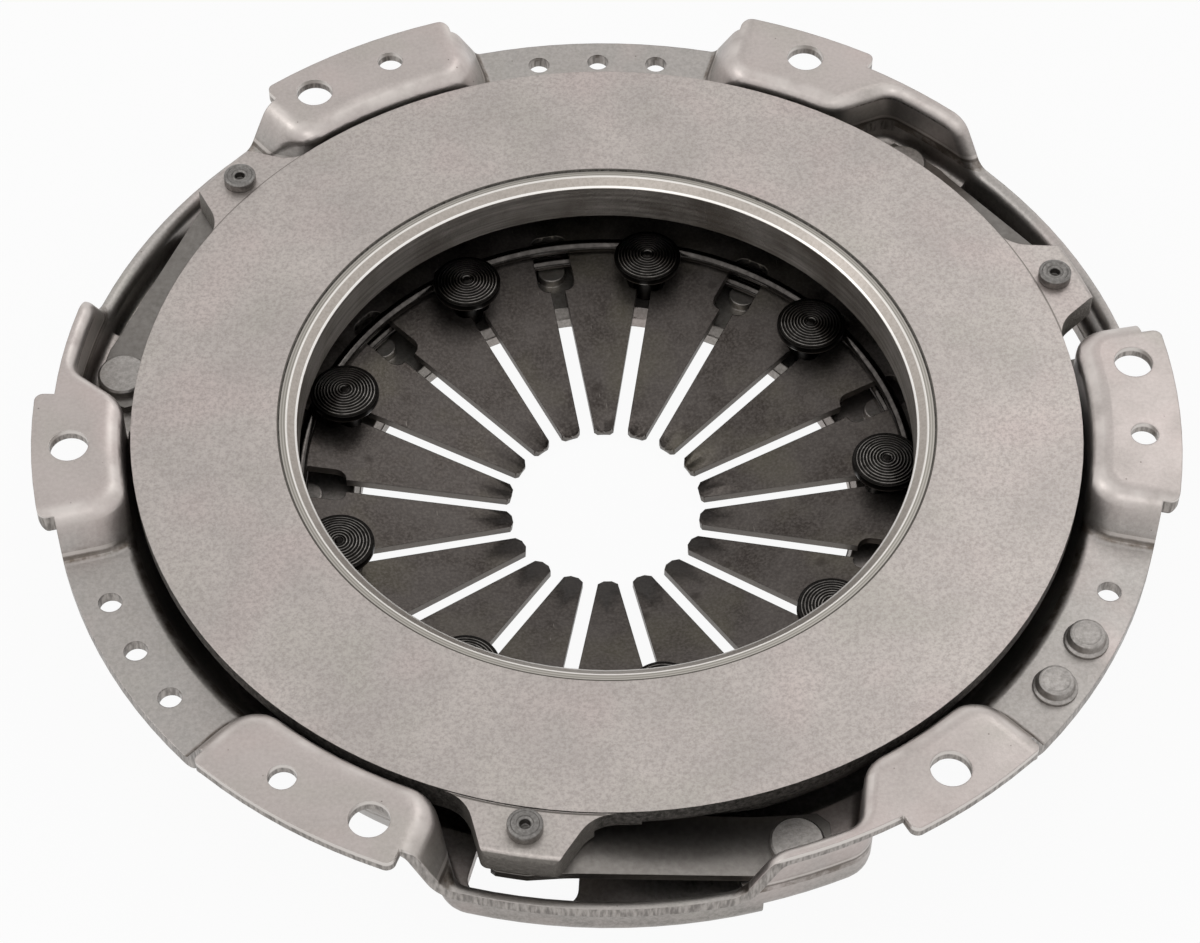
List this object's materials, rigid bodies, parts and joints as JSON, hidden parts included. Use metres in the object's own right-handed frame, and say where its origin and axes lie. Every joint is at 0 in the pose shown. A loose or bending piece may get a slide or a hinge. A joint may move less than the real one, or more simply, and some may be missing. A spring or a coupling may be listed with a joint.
{
  "type": "clutch pressure plate",
  "caption": "Diaphragm-spring clutch cover: drawn steel cover with bolt pads, cast pressure plate on leaf straps, slotted spring with long fingers, riveted.",
  "frame": {"origin": "centre of the bolt circle in the plane of the bolt pads", "axes": "+Z out of the friction face, towards the flywheel; +X through the bolt hole of the first dowel pad"},
  "size_m": [0.2586, 0.2512, 0.0399],
  "materials": {
    "cover_steel": "bare pressed steel, satin",
    "cast_iron": "ground friction face, rough-cast rim",
    "spring_steel": "hardened and tempered, dark, shot-peened",
    "ring_wire": "drawn wire, dark",
    "fulcrum_rivet_steel": "turned, blackened",
    "rivet_steel": "cold-headed, bare",
    "strap_steel": "rolled spring strip, dark"
  },
  "bodies": {
    "cover": {"cover": "cover_steel", "diaphragm_spring": "spring_steel", "plate_side_ring": "ring_wire", "cover_side_ring": "ring_wire", "fulcrum_rivet_1": "fulcrum_rivet_steel", "fulcrum_rivet_2": "fulcrum_rivet_steel", "fulcrum_rivet_3": "fulcrum_rivet_steel", "fulcrum_rivet_4": "fulcrum_rivet_steel", "fulcrum_rivet_5": "fulcrum_rivet_steel", "fulcrum_rivet_6": "fulcrum_rivet_steel", "fulcrum_rivet_7": "fulcrum_rivet_steel", "fulcrum_rivet_8": "fulcrum_rivet_steel", "fulcrum_rivet_9": "fulcrum_rivet_steel", "strap_cover_rivet_1": "rivet_steel", "strap_cover_rivet_2": "rivet_steel", "strap_cover_rivet_3": "rivet_steel", "strap_1_leaf_1": "strap_steel", "strap_1_leaf_2": "strap_steel", "strap_1_leaf_3": "strap_steel", "strap_2_leaf_1": "strap_steel", "strap_2_leaf_2": "strap_steel", "strap_2_leaf_3": "strap_steel", "strap_3_leaf_1": "strap_steel", "strap_3_leaf_2": "strap_steel", "strap_3_leaf_3": "strap_steel", "balance_rivet_1": "rivet_steel", "balance_rivet_2": "rivet_steel"},
    "pressure_plate": {"pressure_plate": "cast_iron", "strap_lug_rivet_1": "rivet_steel", "strap_lug_rivet_2": "rivet_steel", "strap_lug_rivet_3": "rivet_steel"}
  },
  "joints": [
    {"name": "plate_lift", "type": "slide", "parent": "cover", "child": "pressure_plate", "axis": [0, 0, -1], "range_m": [0, 0.0065], "stiffness_N_per_m": 200000, "deforming": ["diaphragm_spring", "strap_1_leaf_1", "strap_1_leaf_2", "strap_1_leaf_3", "strap_2_leaf_1", "strap_2_leaf_2", "strap_2_leaf_3", "strap_3_leaf_1", "strap_3_leaf_2", "strap_3_leaf_3"]}
  ]
}
